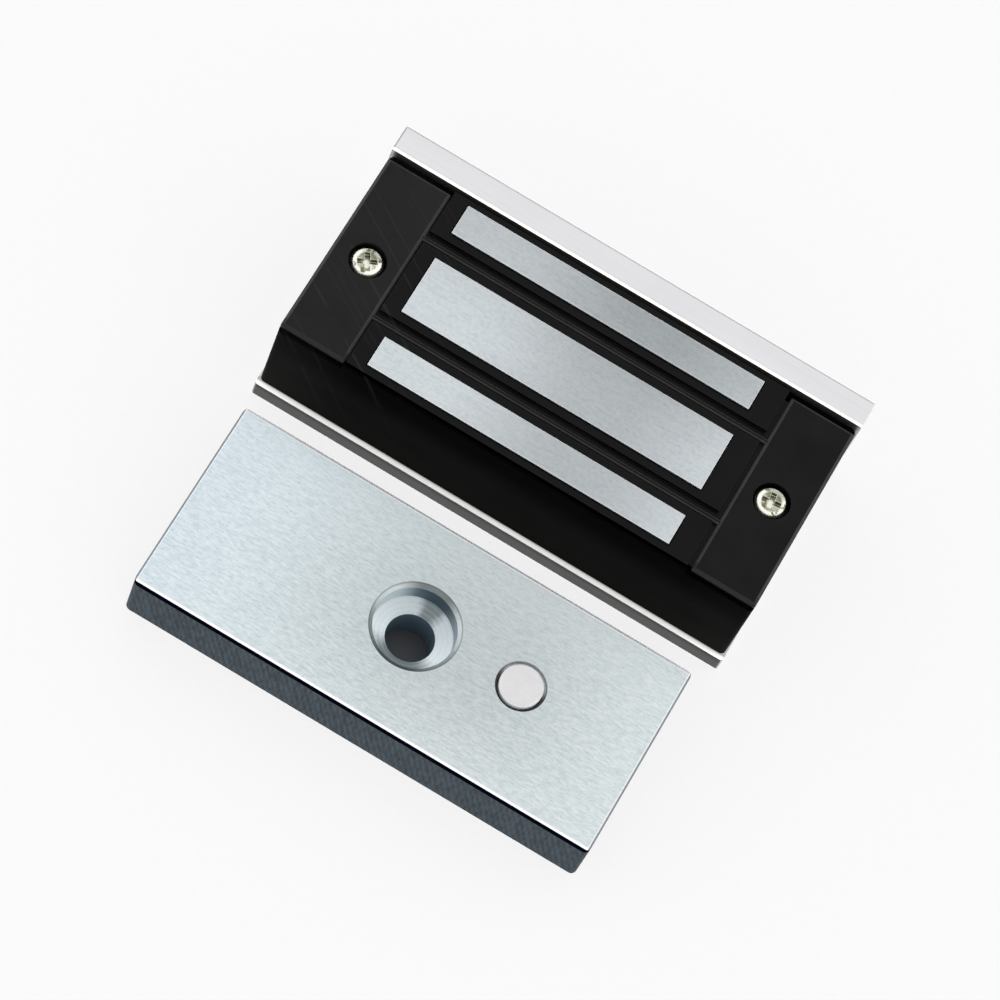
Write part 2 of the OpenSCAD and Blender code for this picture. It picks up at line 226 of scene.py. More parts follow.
def around(tree, centre):
    """Distance from an upright axis, and the direction's X and Y parts (cosine and sine)."""
    axis = (centre.x, centre.y, 0)
    off = put(tree, "VectorMath", {0: position(tree), 1: axis}, operation="SUBTRACT")
    flat = put(tree, "VectorMath", {0: off.outputs[0], 1: (1, 1, 0)}, operation="MULTIPLY")
    radius = put(tree, "VectorMath", {0: flat.outputs[0]}, operation="LENGTH").outputs["Value"]
    parts = put(tree, "SeparateXYZ", {0: flat.outputs[0]}).outputs
    return radius, maths(tree, "DIVIDE", parts["X"], radius), maths(tree, "DIVIDE", parts["Y"], radius)


def soft_edges(tree, radius):
    """Normals that round every edge by a radius."""
    return put(tree, "Bevel", {"Radius": radius}, samples=6).outputs[0]


def edge_mask(tree, radius):
    """1 along edges, 0 on flats."""
    flat = put(tree, "NewGeometry").outputs["Normal"]
    dot = put(tree, "VectorMath", {0: soft_edges(tree, radius), 1: flat}, operation="DOT_PRODUCT")
    return remap(tree, dot.outputs["Value"], 0.995, 0.86)


def bump(tree, shader, height, depth, strength=1.0, edge_radius=None):
    """Surface relief of a depth in metres, on top of rounded edges where a radius is given."""
    inputs = {"Height": height, "Distance": depth, "Strength": strength}
    if edge_radius:
        inputs["Normal"] = soft_edges(tree, edge_radius)
    made = put(tree, "Bump", inputs)
    tree.links.new(made.outputs[0], shader.inputs["Normal"])


# ---- materials ----

BLACK = (0.0, 0.0, 0.0)
WHITE = (1.0, 1.0, 1.0)
SCUFF_NORMAL = (0.518, 0.806, 0.288)
SCUFFS_PER_METRE = 1300.0
SAW_TURN = math.radians(22)
SAW_SLOPE = 0.35
SAW_PITCH = 1.05 * MM
SEAT_RING_PITCH = 0.7 * MM
PLUG_RING_PITCH = 0.3 * MM
WIRE_PITCH = 0.35 * MM
# radii round the armature's bolt hole, from the bore to the plain plate
BORE_RADIUS = 3.75 * MM
SEAT_RADIUS = 5.5 * MM
RIM_RADIUS = 6.2 * MM
SHADE_RADIUS = 6.85 * MM
RECESS_RADIUS = 6.98 * MM
PLAIN_RADIUS = 7.5 * MM
PLAIN_RADIUS_AT_PLUNGER = 4.5 * MM


def aluminium():
    """Satin extrusion with faint die lines; painted shade on its upright faces, its dark front and the
    channel behind the case, a painted shade line on the wall's outer edge, and painted highlights on a pale
    ledge and the wall's inner bevel.
    """
    material, tree, shader = new_material("clear_anodised_aluminium")
    lines = noise(tree, (25, 2600, 2600), 4)
    grain = noise(tree, (5200, 5200, 5200), 2)
    cloud = noise(tree, (90, 300, 300), 3)
    place, facing = split_place(tree), split_normal(tree)
    low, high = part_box("housing_rail")
    case_low, case_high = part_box("coil_case")
    tone = mottled(tree, lines, (0.70, 0.695, 0.715), (0.74, 0.735, 0.755))
    tone = blend(tree, remap(tree, cloud, 0.35, 0.7, 0, 0.4), tone, (0.675, 0.675, 0.695))
    tone = blend(tree, remap(tree, grain, 0.55, 0.75, 0, 0.6), tone, (0.80, 0.80, 0.81))
    # Upright faces darker: painted shade.
    upright = smooth(tree, maths(tree, "ABSOLUTE", facing["Z"]), 0.5, 0.3)
    upright_shade_tone = mottled(tree, lines, (0.40, 0.40, 0.415), (0.53, 0.53, 0.545))
    tone = blend(tree, upright, tone, upright_shade_tone)
    base_top = case_low.z
    # The base's front face: dark as painted shade, darkest just under the ledge.
    side = mottled(tree, cloud, (0.066, 0.066, 0.065), (0.080, 0.080, 0.079))
    under_ledge_shade = smooth(tree, place["Z"], base_top - 1.5 * MM, base_top - 0.7 * MM)
    side = blend(tree, under_ledge_shade, side, (0.032, 0.032, 0.031))
    base = smooth(tree, place["Z"], base_top + 0.4 * MM, base_top + 0.1 * MM)
    front = product(tree, remap(tree, facing["Y"], -0.8, -0.95), base)
    tone = blend(tree, front, tone, side)
    # The ledge: pale and not metallic as a painted highlight, with a painted shadow next to the case.
    ledge = product(tree, base, smooth(tree, facing["Z"], 0.5, 0.7),
                    smooth(tree, place["Y"], case_low.y + 0.6 * MM, case_low.y + 0.3 * MM))
    case_shadow = smooth(tree, place["Y"], case_low.y - 0.35 * MM, case_low.y)
    ledge_highlight_and_shadow = blend(tree, case_shadow, (0.86, 0.86, 0.84), (0.36, 0.36, 0.35))
    tone = blend(tree, ledge, tone, ledge_highlight_and_shadow)
    # The gap between the case and the wall: painted shade.
    channel_shade = product(tree, smooth(tree, place["Y"], case_high.y - 0.6 * MM, case_high.y - 0.2 * MM),
                      smooth(tree, place["Y"], high.y - 3 * MM, high.y - 3.4 * MM), base)
    tone = blend(tree, channel_shade, tone, (0.02, 0.02, 0.02))
    # A dark line along the wall's outer top edge and its left end: painted shade.
    outer_edge_shade = highest(tree, smooth(tree, place["Y"], high.y - 0.32 * MM, high.y - 0.18 * MM),
                      smooth(tree, place["X"], low.x + 0.24 * MM, low.x + 0.12 * MM))
    wall_top = smooth(tree, place["Z"], high.z - 1 * MM, high.z - 0.5 * MM)
    outer_edge_shade = product(tree, outer_edge_shade, wall_top)
    tone = blend(tree, product(tree, outer_edge_shade, 0.75), tone, (0.22, 0.22, 0.23))
    # The wall's inner bevel: painted highlight.
    inner_bevel_highlight = product(tree, smooth(tree, facing["Y"], -0.3, -0.6), smooth(tree, facing["Z"], 0.3, 0.6),
                    wall_top)
    tone = blend(tree, inner_bevel_highlight, tone, (1.0, 0.99, 0.88))
    rough = remap(tree, grain, 0.2, 0.8, 0.30, 0.42)
    feed(tree, shader, Base_Color=tone, Roughness=rough, Metallic=remap(tree, ledge, 0, 1, 1, 0))
    bump(tree, shader, maths(tree, "ADD", lines, grain), 0.006 * MM, 0.5, 0.1 * MM)
    return material


def scuffs(tree):
    """Fine slanting scratches near the left-hand end, 0 to 1."""
    along = put(tree, "VectorMath", {0: position(tree), 1: SCUFF_NORMAL}, operation="DOT_PRODUCT")
    thin = put(tree, "TexNoise", {"W": along.outputs["Value"], "Scale": SCUFFS_PER_METRE,
                                  "Detail": 2.0}, noise_dimensions="1D").outputs["Fac"]
    patches = noise(tree, (160, 160, 160), 2)
    left = smooth(tree, split_place(tree)["X"], -14 * MM, -28 * MM)
    return product(tree, smooth(tree, thin, 0.60, 0.72), smooth(tree, patches, 0.34, 0.52), left)


def case_plastic():
    """Deep black moulding with fine scratches; lighter low down and at its ends as a painted reflection,
    with a painted highlight along its edges.
    """
    material, tree, shader = new_material("case_black_plastic")
    place = split_place(tree)
    grain = noise(tree, (9000, 9000, 9000), 2)
    cloud = noise(tree, (120, 120, 120), 4)
    tone = mottled(tree, cloud, (0.0006, 0.0006, 0.0006), (0.0012, 0.0013, 0.0016))
    # Lighter low down and at the ends: painted reflection.
    tone = blend(tree, smooth(tree, place["Z"], 19.5 * MM, 12.5 * MM), tone, (0.0052, 0.0052, 0.0050))
    tone = blend(tree, smooth(tree, place["Z"], 11 * MM, 5 * MM), tone, (0.0098, 0.0098, 0.0090))
    lit_ends = highest(tree, smooth(tree, place["X"], -25 * MM, -37 * MM),
                   smooth(tree, place["X"], 28 * MM, 37 * MM, 0, 0.4))
    tone = blend(tree, lit_ends, tone, (0.0036, 0.0036, 0.0036), "ADD")
    tone = blend(tree, product(tree, scuffs(tree), 0.5), tone, (0.016, 0.016, 0.016))
    # Lighter along the edges: painted highlight.
    tone = blend(tree, product(tree, edge_mask(tree, 0.2 * MM), 0.2), tone, (0.012, 0.012, 0.013))
    feed(tree, shader, Base_Color=tone, Specular_IOR_Level=0.003,
         Roughness=remap(tree, cloud, 0.3, 0.7, 0.34, 0.48))
    bump(tree, shader, grain, 0.004 * MM, 0.6, 0.25 * MM)
    return material


def frame_plastic():
    """Black face frame: satin end caps with a painted sheen towards the left, a darker border, painted
    highlight lines on every bevel, and edges lighter from wear and painted highlight.
    """
    material, tree, shader = new_material("frame_black_plastic")
    place, facing = split_place(tree), split_normal(tree)
    grain = noise(tree, (7000, 7000, 7000), 3)
    cloud = noise(tree, (160, 160, 160), 4)
    border = hill(tree, place["X"], -0.25 * MM, 28.75 * MM, 28.65 * MM)
    caps = mottled(tree, cloud, (0.0030, 0.0030, 0.0030), (0.0066, 0.0066, 0.0064))
    # Caps lighter towards the left: painted sheen.
    caps = blend(tree, remap(tree, place["X"], 10 * MM, -30 * MM), caps, (0.0072, 0.0072, 0.0070), "ADD")
    dark = mottled(tree, cloud, (0.0016, 0.0016, 0.0022), (0.0034, 0.0034, 0.0036))
    tone = blend(tree, border, caps, dark)
    tone = blend(tree, product(tree, scuffs(tree), 0.4), tone, (0.030, 0.030, 0.030))
    # Light lines on the bevels: painted highlight, dimmer on the front bevel.
    bevel_highlight = product(tree, smooth(tree, facing["Z"], 0.4, 0.6), smooth(tree, facing["Z"], 0.97, 0.85))
    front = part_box("face_frame")[0].y
    highlight_tone = blend(tree, smooth(tree, place["Y"], front + 1.2 * MM, front + 1.6 * MM),
                 (0.020, 0.020, 0.020), (0.044, 0.044, 0.043))
    tone = blend(tree, product(tree, bevel_highlight, remap(tree, cloud, 0.2, 0.7, 0.6, 1)), tone, highlight_tone)
    # Lighter edges: partly wear, partly painted highlight.
    wear_and_highlight = product(tree, edge_mask(tree, 0.12 * MM), remap(tree, cloud, 0.2, 0.6, 0.3, 0.6))
    tone = blend(tree, wear_and_highlight, tone, (0.034, 0.034, 0.034))
    feed(tree, shader, Base_Color=tone, Specular_IOR_Level=0.12,
         Roughness=remap(tree, cloud, 0.3, 0.7, 0.28, 0.42))
    bump(tree, shader, grain, 0.005 * MM, 0.6, 0.1 * MM)
    return material


def ground_steel():
    """Pole faces: ground flat, mottled, with painted highlights along their edges and a painted darker
    reflection towards the right.
    """
    material, tree, shader = new_material("ground_core_steel")
    lines = noise(tree, (240, 3300, 3300), 3)
    mottle = noise(tree, (1500, 2300, 2300), 4)
    place = split_place(tree)
    tone = mottled(tree, mottle, (0.54, 0.585, 0.61), (0.67, 0.72, 0.74))
    tone = blend(tree, remap(tree, lines, 0.35, 0.7, 0, 0.45), tone, (0.73, 0.765, 0.775))
    # A darker patch towards the right: painted reflection.
    painted_dark_patch = hill(tree, place["X"], 6.5 * MM, 24 * MM, 2 * MM)
    tone = blend(tree, product(tree, painted_dark_patch, 0.28), tone, BLACK)
    tone = blend(tree, remap(tree, place["Y"], -3 * MM, 11 * MM, 0, 0.20), tone, BLACK)
    # White edges: painted highlight.
    tone = blend(tree, edge_mask(tree, 0.14 * MM), tone, WHITE)
    feed(tree, shader, Base_Color=tone, Metallic=1.0,
         Roughness=remap(tree, mottle, 0.25, 0.75, 0.30, 0.44))
    bump(tree, shader, maths(tree, "ADD", mottle, lines), 0.010 * MM, 0.6, 0.1 * MM)
    return material


def plate_top(tree, place, centre, strokes, fine):
    """The armature's face: short brush strokes and specks, with a painted cool reflection at its left and
    painted shade in its middle.
    """
    specks = noise(tree, (2600, 2600, 2600), 2)
    top = blend(tree, remap(tree, strokes, 0.32, 0.68), (0.56, 0.63, 0.66), (0.80, 0.86, 0.88))
    top = blend(tree, remap(tree, fine, 0.5, 0.75, 0, 0.45), top, (0.88, 0.92, 0.94))
    top = blend(tree, remap(tree, specks, 0.60, 0.72, 0, 0.5), top, (0.46, 0.54, 0.59))
    # Cooler towards the left: painted reflection.
    cool_reflection_tint = blend(tree, remap(tree, place["X"], -36 * MM, 4 * MM), (1.00, 1.035, 1.06), (1.02, 1.02, 1.0))
    top = blend(tree, 1.0, top, cool_reflection_tint, "MULTIPLY")
    # A darker patch in the middle: painted shade.
    painted_dark_patch = product(tree, hill(tree, place["X"], 5 * MM, 36 * MM, 4 * MM),
                   hill(tree, place["Y"], centre.y + 1 * MM, 26 * MM, 3 * MM))
    return blend(tree, product(tree, painted_dark_patch, 0.22), top, BLACK)


def plate_side(tree, place):
    """The armature's sides with slanting saw marks; their dark tone is partly the steel's oxide, partly
    painted shade.
    """
    hatch = noise(tree, (2500, 2500, 520), 4, (0, SAW_TURN, 0))
    slant = maths(tree, "ADD", place["X"], product(tree, place["Z"], SAW_SLOPE))
    hatch = maths(tree, "ADD", hatch, product(tree, waves(tree, slant, SAW_PITCH), 0.09))
    return mottled(tree, hatch, (0.030, 0.041, 0.051), (0.062, 0.083, 0.099))


def bolt_recess(tree, turning, skirt):
    """The turned recess round the bolt hole: its bore, ringed seat, wall and rim, with painted highlights
    and painted shade that follow the direction round the hole.
    """
    radius, right, rear = turning
    wobble = noise(tree, (260, 260, 260), 3)
    ragged = maths(tree, "ADD", right, remap(tree, wobble, 0.3, 0.7, -0.15, 0.15))
    # Seat: painted highlight, dark towards the front and broken by a painted dark reflection streak.
    dark_reflection_streak = product(tree, hill(tree, ragged, 0.15, 0.45, 0.1), smooth(tree, rear, 0, 0.5), 0.85)
    lit = product(tree, smooth(tree, rear, -0.9, -0.2), maths(tree, "SUBTRACT", 1, dark_reflection_streak))
    glint = maths(tree, "ADD", lit, product(tree, waves(tree, radius, SEAT_RING_PITCH), 0.08))
    seat = blend(tree, glint, (0.24, 0.285, 0.30), (0.88, 0.97, 1.0))
    glow = highest(tree, smooth(tree, right, -0.3, -0.9), smooth(tree, right, 0.4, 1.0, 0, 0.4))
    wall = blend(tree, glow, (0.10, 0.145, 0.18), (0.72, 0.80, 0.84))
    bore = (0.34, 0.47, 0.56)
    # Rim: lighter to the left and right as painted highlight.
    across = maths(tree, "ABSOLUTE", right)
    rim = blend(tree, smooth(tree, across, 0.3, 0.9), (0.17, 0.19, 0.19), (0.55, 0.60, 0.61))
    recess = blend(tree, past(tree, radius, RIM_RADIUS, 0.1 * MM), seat, rim)
    upright = product(tree, skirt, past(tree, radius, SEAT_RADIUS, 0.2 * MM))
    recess = blend(tree, upright, recess, wall)
    recess = blend(tree, past(tree, radius, BORE_RADIUS, -0.03 * MM), recess, bore)
    shade = hill(tree, radius, SHADE_RADIUS, 0.16 * MM, 0.04 * MM)
    return blend(tree, product(tree, shade, 0.5), recess, (0.10, 0.12, 0.13))


def brushed_plate():
    """Plated armature: brushed top; dark rolled sides, partly painted shade; painted highlights on its edges
    and a painted dark reflection under the front edge; a turned bolt recess with painted light.
    """
    material, tree, shader = new_material("nickel_plated_steel")
    low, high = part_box("armature_plate")
    centre = (low + high) / 2
    place, facing = split_place(tree), split_normal(tree)
    strokes = noise(tree, (760, 2800, 2800), 5, rough=0.62)
    fine = noise(tree, (1500, 6500, 6500), 3)
    turning = around(tree, centre)
    plunger_radius = around(tree, box_centre("plunger_plug"))[0]
    plain = product(tree, past(tree, turning[0], PLAIN_RADIUS, 0.5 * MM),
                    past(tree, plunger_radius, PLAIN_RADIUS_AT_PLUNGER, 0.5 * MM))
    not_back = smooth(tree, facing["Z"], -0.6, -0.4)
    back = maths(tree, "SUBTRACT", 1, not_back)
    skirt = product(tree, remap(tree, facing["Z"], 0.45, 0.25), not_back)

    top = plate_top(tree, place, centre, strokes, fine)
    top = blend(tree, product(tree, back, 0.42), top, BLACK)
    tone = blend(tree, product(tree, skirt, plain), top, plate_side(tree, place))

    from_middle = maths(tree, "ABSOLUTE", maths(tree, "SUBTRACT", place["X"], centre.x))
    half = high.x - centre.x
    # Bright lines along the top edges: painted highlight.
    rim_highlight = highest(tree, smooth(tree, from_middle, half - 0.54 * MM, half - 0.44 * MM, 0, 0.25),
                       smooth(tree, place["Y"], high.y - 0.75 * MM, high.y - 0.62 * MM, 0, 0.9),
                       smooth(tree, place["Y"], low.y + 0.60 * MM, low.y + 0.48 * MM))
    at_top = smooth(tree, place["Z"], high.z - 0.32 * MM, high.z - 0.28 * MM)
    tone = blend(tree, product(tree, rim_highlight, at_top, plain), tone, (0.84, 0.86, 0.88))

    # A dark band just under the front top edge: painted reflection.
    under_top = smooth(tree, place["Z"], high.z - 0.28 * MM, high.z - 0.32 * MM)
    above_side = smooth(tree, place["Z"], high.z - 1.50 * MM, high.z - 1.30 * MM)
    dark_reflection_band = product(tree, under_top, plain, smooth(tree, facing["Y"], -0.3, -0.6), above_side)
    tone = blend(tree, dark_reflection_band, tone, (0.001, 0.0015, 0.005))
    # The end bevels: painted highlight.
    facing_end = smooth(tree, maths(tree, "ABSOLUTE", facing["X"]), 0.3, 0.5)
    end_bevel_highlight = product(tree, smooth(tree, place["Z"], high.z - 0.12 * MM, high.z - 0.20 * MM), plain,
                        smooth(tree, facing["Z"], 0.35, 0.6), facing_end)
    tone = blend(tree, end_bevel_highlight, tone, (0.26, 0.265, 0.28))
    # The rear bevel: pale and not metallic as a painted highlight.
    rear_bevel_highlight = product(tree, smooth(tree, facing["Y"], 0.3, 0.6), smooth(tree, facing["Z"], 0.3, 0.6),
                         plain)
    tone = blend(tree, rear_bevel_highlight, tone, (0.92, 0.94, 0.95))

    in_recess = product(tree, past(tree, turning[0], RECESS_RADIUS, -0.04 * MM), not_back)
    tone = blend(tree, in_recess, tone, bolt_recess(tree, turning, skirt))

    solid = highest(tree, dark_reflection_band, product(tree, in_recess, 0.35), product(tree, skirt, plain, 0.7),
                    end_bevel_highlight, rear_bevel_highlight)
    rough = remap(tree, strokes, 0.25, 0.75, 0.24, 0.44)
    feed(tree, shader, Base_Color=tone, Metallic=remap(tree, solid, 0, 1, 1, 0), Roughness=rough,
         IOR=1.0)
    relief = maths(tree, "ADD", product(tree, strokes, 0.8), fine)
    bump(tree, shader, relief, 0.010 * MM, 0.55, 0.12 * MM)
    return material


def screw_nickel(name, centre):
    """Yellowish plated screw head: olive grime in patches, painted shade on its far side and in the cross,
    painted highlights on its crown, centre and edge.
    """
    material, tree, shader = new_material(name)
    radius, _, rear = around(tree, centre)
    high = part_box("case_screw_left")[1]
    place = split_place(tree)
    patches = noise(tree, (850, 850, 850), 3)
    grain = noise(tree, (4200, 4200, 4200), 3)
    tone = mottled(tree, grain, (0.40, 0.40, 0.31), (0.58, 0.575, 0.46))
    tone = blend(tree, smooth(tree, patches, 0.50, 0.58), tone, (0.95, 0.945, 0.84))
    tone = blend(tree, smooth(tree, patches, 0.46, 0.38, 0, 0.85), tone, (0.13, 0.13, 0.065))
    # Far side darker: painted shade.
    shade = product(tree, smooth(tree, rear, 0.0, 0.6), hill(tree, radius, 1.3 * MM, 1.0 * MM, 0.6 * MM),
                    0.85)
    tone = blend(tree, shade, tone, (0.15, 0.155, 0.09))
    # A bright crown: painted highlight.
    crown_highlight = product(tree, hill(tree, radius, 2.0 * MM, 0.6 * MM, 0.25 * MM),
                    smooth(tree, patches, 0.36, 0.44), smooth(tree, rear, 0.95, 0.4, 0.35, 1))
    tone = blend(tree, crown_highlight, tone, (1.0, 1.0, 0.90))
    cross = smooth(tree, place["Z"], high.z - 0.25 * MM, high.z - 0.5 * MM)
    # The floor of the cross darker, olive-tinted: painted shade.
    cross_shade = product(tree, cross, smooth(tree, radius, 2 * MM, 1.8 * MM), 0.6)
    tone = blend(tree, cross_shade, tone, (0.30, 0.30, 0.19))
    # Bright centre and edges: painted highlight.
    tone = blend(tree, smooth(tree, radius, 0.85 * MM, 0.5 * MM, 0, 0.9), tone, (0.95, 0.94, 0.84))
    tone = blend(tree, edge_mask(tree, 0.2 * MM), tone, (0.98, 0.97, 0.88))
    feed(tree, shader, Base_Color=tone, Metallic=1.0,
         Roughness=remap(tree, grain, 0.2, 0.8, 0.18, 0.34))
    relief = maths(tree, "ADD", patches, product(tree, grain, 0.2))
    bump(tree, shader, relief, 0.10 * MM, 0.7, 0.25 * MM)
    return material


def turned_metal(name, dark, light, rough, centre, pitch):
    """Turned metal with fine rings about an upright axis and a painted highlight along its edges."""
    material, tree, shader = new_material(name)
    rings = waves(tree, around(tree, centre)[0], pitch)
    grain = noise(tree, (5000, 5000, 5000), 3)
    tone = mottled(tree, grain, dark, light)
    # Pale edges: painted highlight.
    tone = blend(tree, edge_mask(tree, 0.12 * MM), tone, (0.92, 0.91, 0.85))
    feed(tree, shader, Base_Color=tone, Metallic=1.0,
         Roughness=remap(tree, grain, 0.2, 0.8, rough, rough + 0.15))
    bump(tree, shader, maths(tree, "ADD", rings, grain), 0.004 * MM, 0.5, 0.1 * MM)
    return material


def drawn_metal(name, dark, light, rough, scale):
    """Wire, pins and rivets: fine drawn lines and a little tarnish."""
    material, tree, shader = new_material(name)
    lines = noise(tree, scale, 3)
    cloud = noise(tree, (900, 900, 900), 3)
    tone = mottled(tree, cloud, dark, light)
    feed(tree, shader, Base_Color=tone, Metallic=1.0,
         Roughness=remap(tree, lines, 0.2, 0.8, rough, rough + 0.15))
    bump(tree, shader, lines, 0.004 * MM, 0.6, 0.05 * MM)
    return material


def smooth_plastic(name, dark, light, rough, specular=0.5, scale=600.0):
    """Moulded plastic or lacquer with slight colour variation and a soft orange peel."""
    material, tree, shader = new_material(name)
    cloud = noise(tree, (scale, scale, scale), 3)
    peel = noise(tree, (3000, 3000, 3000), 2)
    tone = mottled(tree, cloud, dark, light)
    feed(tree, shader, Base_Color=tone, Roughness=remap(tree, peel, 0.2, 0.8, rough, rough + 0.1),
         Specular_IOR_Level=specular)
    bump(tree, shader, peel, 0.004 * MM, 0.4, 0.15 * MM)
    return material


def plunger_plastic():
    """White moulded plunger with a painted highlight along its rolled edge at its two ends."""
    material, tree, shader = new_material("plunger_plastic")
    cloud = noise(tree, (600, 600, 600), 3)
    peel = noise(tree, (3000, 3000, 3000), 2)
    along = maths(tree, "ABSOLUTE", around(tree, box_centre("release_plunger"))[1])
    tone = mottled(tree, cloud, (0.775, 0.775, 0.785), (0.825, 0.82, 0.83))
    # White on the edge at the two ends: painted highlight.
    edge = product(tree, edge_mask(tree, 0.3 * MM), smooth(tree, along, 0.5, 0.95))
    tone = blend(tree, edge, tone, WHITE)
    feed(tree, shader, Base_Color=tone, Roughness=remap(tree, peel, 0.2, 0.8, 0.22, 0.32))
    bump(tree, shader, peel, 0.004 * MM, 0.4, 0.15 * MM)
    return material


def bush_plastic():
    """Dark sleeve round the plunger, with painted light on its far side."""
    material, tree, shader = new_material("bush_plastic")
    cloud = noise(tree, (600, 600, 600), 3)
    peel = noise(tree, (3000, 3000, 3000), 2)
    rear = around(tree, box_centre("plunger_bush"))[2]
    tone = mottled(tree, cloud, (0.020, 0.020, 0.021), (0.040, 0.041, 0.042))
    # Paler far side: painted light.
    tone = blend(tree, smooth(tree, rear, 0.0, 0.6), tone, (0.80, 0.83, 0.84))
    feed(tree, shader, Base_Color=tone, Roughness=remap(tree, peel, 0.2, 0.8, 0.3, 0.4))
    bump(tree, shader, peel, 0.004 * MM, 0.4, 0.15 * MM)
    return material


def wound_wire():
    """Enamelled copper laid in level turns."""
    material, tree, shader = new_material("enamelled_copper")
    height = split_place(tree)["Z"]
    turns = waves(tree, height, WIRE_PITCH)
    cloud = noise(tree, (400, 400, 1500), 3)
    tone = blend(tree, remap(tree, turns, -1, 1), (0.22, 0.06, 0.015), (0.66, 0.24, 0.07))
    tone = blend(tree, remap(tree, cloud, 0.4, 0.7, 0, 0.4), tone, (0.45, 0.12, 0.03))
    feed(tree, shader, Base_Color=tone, Metallic=0.85, Roughness=remap(tree, cloud, 0.2, 0.8, 0.25, 0.4))
    bump(tree, shader, turns, 0.06 * MM)
    return material


def board_laminate():
    """Green board with tracks under the mask."""
    material, tree, shader = new_material("board_laminate")
    where = stretched(tree, (900, 900, 1))
    tracks = put(tree, "TexBrick", {"Vector": where, "Scale": 1.0, "Mortar Size": 0.12, "Brick Width": 1.6,
                                    "Row Height": 1.1, "Color1": (0.015, 0.12, 0.035),
                                    "Color2": (0.02, 0.15, 0.05), "Mortar": (0.06, 0.28, 0.09)})
    weave = noise(tree, (4000, 4000, 4000), 2)
    feed(tree, shader, Base_Color=tracks.outputs["Color"], Roughness=remap(tree, weave, 0.2, 0.8, 0.28, 0.4))
    bump(tree, shader, tracks.outputs["Fac"], 0.03 * MM, 0.6)
    return material


def banded_diode():
    """Black moulded body with one pale band at its cathode end."""
    material, tree, shader = new_material("diode_body")
    low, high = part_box("flyback_diode")
    along = split_place(tree)["X"]
    band = product(tree, remap(tree, along, low.x + 0.6 * MM, low.x + 0.65 * MM),
                 remap(tree, along, low.x + 1.25 * MM, low.x + 1.2 * MM))
    grain = noise(tree, (6000, 6000, 6000), 2)
    tone = mottled(tree, grain, (0.012, 0.012, 0.013), (0.03, 0.03, 0.032))
    tone = blend(tree, band, tone, (0.6, 0.6, 0.58))
    feed(tree, shader, Base_Color=tone, Roughness=remap(tree, grain, 0.2, 0.8, 0.4, 0.55))
    bump(tree, shader, grain, 0.01 * MM, 0.5)
    return material


def rubber():
    """Black rubber with a dusty bloom."""
    material, tree, shader = new_material("grommet_rubber")
    bloom = noise(tree, (700, 700, 700), 4)
    pores = noise(tree, (9000, 9000, 9000), 2)
    tone = blend(tree, remap(tree, bloom, 0.35, 0.75), (0.012, 0.012, 0.012), (0.045, 0.044, 0.042))
    feed(tree, shader, Base_Color=tone, Specular_IOR_Level=0.3,
         Roughness=remap(tree, bloom, 0.2, 0.8, 0.6, 0.8))
    bump(tree, shader, pores, 0.01 * MM, 0.7, 0.2 * MM)
    return material


def paint(material, name):
    """Give a CAD node a material."""
    slots = CAD[name].data.materials
    slots.clear()
    slots.append(material)


paint(aluminium(), "housing_rail")
paint(case_plastic(), "coil_case")
paint(frame_plastic(), "face_frame")
paint(ground_steel(), "core_laminations")
paint(brushed_plate(), "armature_plate")
for side in ("left", "right"):
    screw = "case_screw_" + side
    paint(screw_nickel("screw_nickel_" + side, box_centre(screw)), screw)
paint(plunger_plastic(), "release_plunger")
paint(bush_plastic(), "plunger_bush")
paint(turned_metal("plug_steel", (0.36, 0.37, 0.38), (0.52, 0.53, 0.54), 0.3, box_centre("plunger_plug"),
                   PLUG_RING_PITCH), "plunger_plug")
paint(drawn_metal("rivet_steel", (0.42, 0.43, 0.44), (0.60, 0.61, 0.62), 0.3, (200, 4000, 4000)),
      "core_rivets")
paint(drawn_metal("tinned_pins", (0.62, 0.62, 0.60), (0.78, 0.78, 0.76), 0.2, (4000, 4000, 300)),
      "terminal_pins")
paint(drawn_metal("lead_wire", (0.40, 0.12, 0.03), (0.62, 0.22, 0.07), 0.25, (2000, 2000, 2000)),
      "coil_leads")
paint(smooth_plastic("bobbin_nylon", (0.02, 0.02, 0.022), (0.035, 0.035, 0.037), 0.45), "coil_bobbin")
paint(wound_wire(), "coil_winding")
paint(smooth_plastic("polyester_tape", (0.60, 0.38, 0.05), (0.74, 0.52, 0.10), 0.2), "winding_tape")
paint(smooth_plastic("epoxy_potting", (0.012, 0.012, 0.012), (0.03, 0.03, 0.03), 0.15, 0.5, 250),
      "potting_compound")
paint(board_laminate(), "circuit_board")
paint(smooth_plastic("varistor_coating", (0.015, 0.06, 0.24), (0.03, 0.10, 0.34), 0.35), "surge_varistor")
paint(banded_diode(), "flyback_diode")
paint(rubber(), "cable_grommet")

# ---- the plunger's spring, a helix of wire that rides with the armature ----

SPRING_WIRE_RADIUS = 0.3 * MM
SPRING_TURNS = 3
SPRING_STEPS = 32
SPRING_SIDES = 10


def spring_ring(shape, share, base, coil, lift):
    """One ring of the wire, at a share of the spring's length."""
    turn = 2 * math.pi * SPRING_TURNS * share
    out = Vector((math.cos(turn), math.sin(turn), 0))
    middle = base + out * coil + Vector((0, 0, SPRING_WIRE_RADIUS + lift * share))
    ring = []
    for side in range(SPRING_SIDES):
        angle = 2 * math.pi * side / SPRING_SIDES
        rise = Vector((0, 0, SPRING_WIRE_RADIUS * math.sin(angle)))
        ring.append(shape.verts.new(middle + out * SPRING_WIRE_RADIUS * math.cos(angle) + rise))
    return ring


